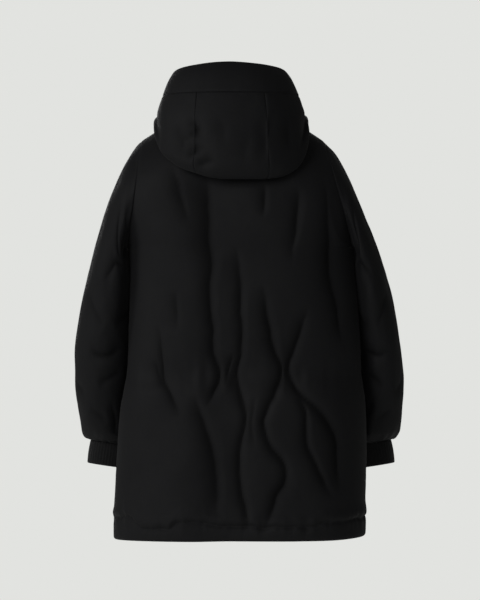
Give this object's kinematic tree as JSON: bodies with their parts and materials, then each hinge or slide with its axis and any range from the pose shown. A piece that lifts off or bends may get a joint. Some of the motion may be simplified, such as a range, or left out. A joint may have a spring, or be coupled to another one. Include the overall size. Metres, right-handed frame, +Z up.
{
  "type": "padded parka with a hood",
  "caption": "Hip-length padded coat in the form it has when worn, empty inside, with set-in sleeves, knit cuffs, a stand collar, a front zip and a hood thrown back.",
  "frame": {"origin": "middle of the neck opening, level with the tops of the shoulder seams, where the wearer's neck and shoulders hold the coat", "axes": "+Z up, +Y out of the coat's back, +X towards the wearer's left sleeve; the zip faces -Y"},
  "size_m": [0.6912, 0.3544, 1],
  "materials": {
    "shell_cloth": "matt black tightly woven polyamide",
    "rib_knit": "black rib knit",
    "zip_tape": "black woven tape",
    "zip_teeth": "black moulded teeth",
    "zip_metal": "blackened zinc alloy"
  },
  "bodies": {
    "coat": {"back": "shell_cloth", "front_left": "shell_cloth", "front_right": "shell_cloth", "sleeve_left": "shell_cloth", "sleeve_right": "shell_cloth", "cuff_left": "rib_knit", "cuff_right": "rib_knit", "collar": "shell_cloth", "hood_brim": "shell_cloth", "hood_middle": "shell_cloth", "hood_side_left": "shell_cloth", "hood_side_right": "shell_cloth", "zip_tape_left": "zip_tape", "zip_tape_right": "zip_tape", "zip_chain": "zip_teeth", "zip_slider": "zip_metal"},
    "pull_tab": {"zip_pull_tab": "zip_metal"}
  },
  "joints": [
    {"name": "pull_tab_swing", "type": "hinge", "parent": "coat", "child": "pull_tab", "pos_m": [0, -0.0802, 0.013], "axis": [1, 0, 0], "range_deg": [-165, 0]}
  ]
}
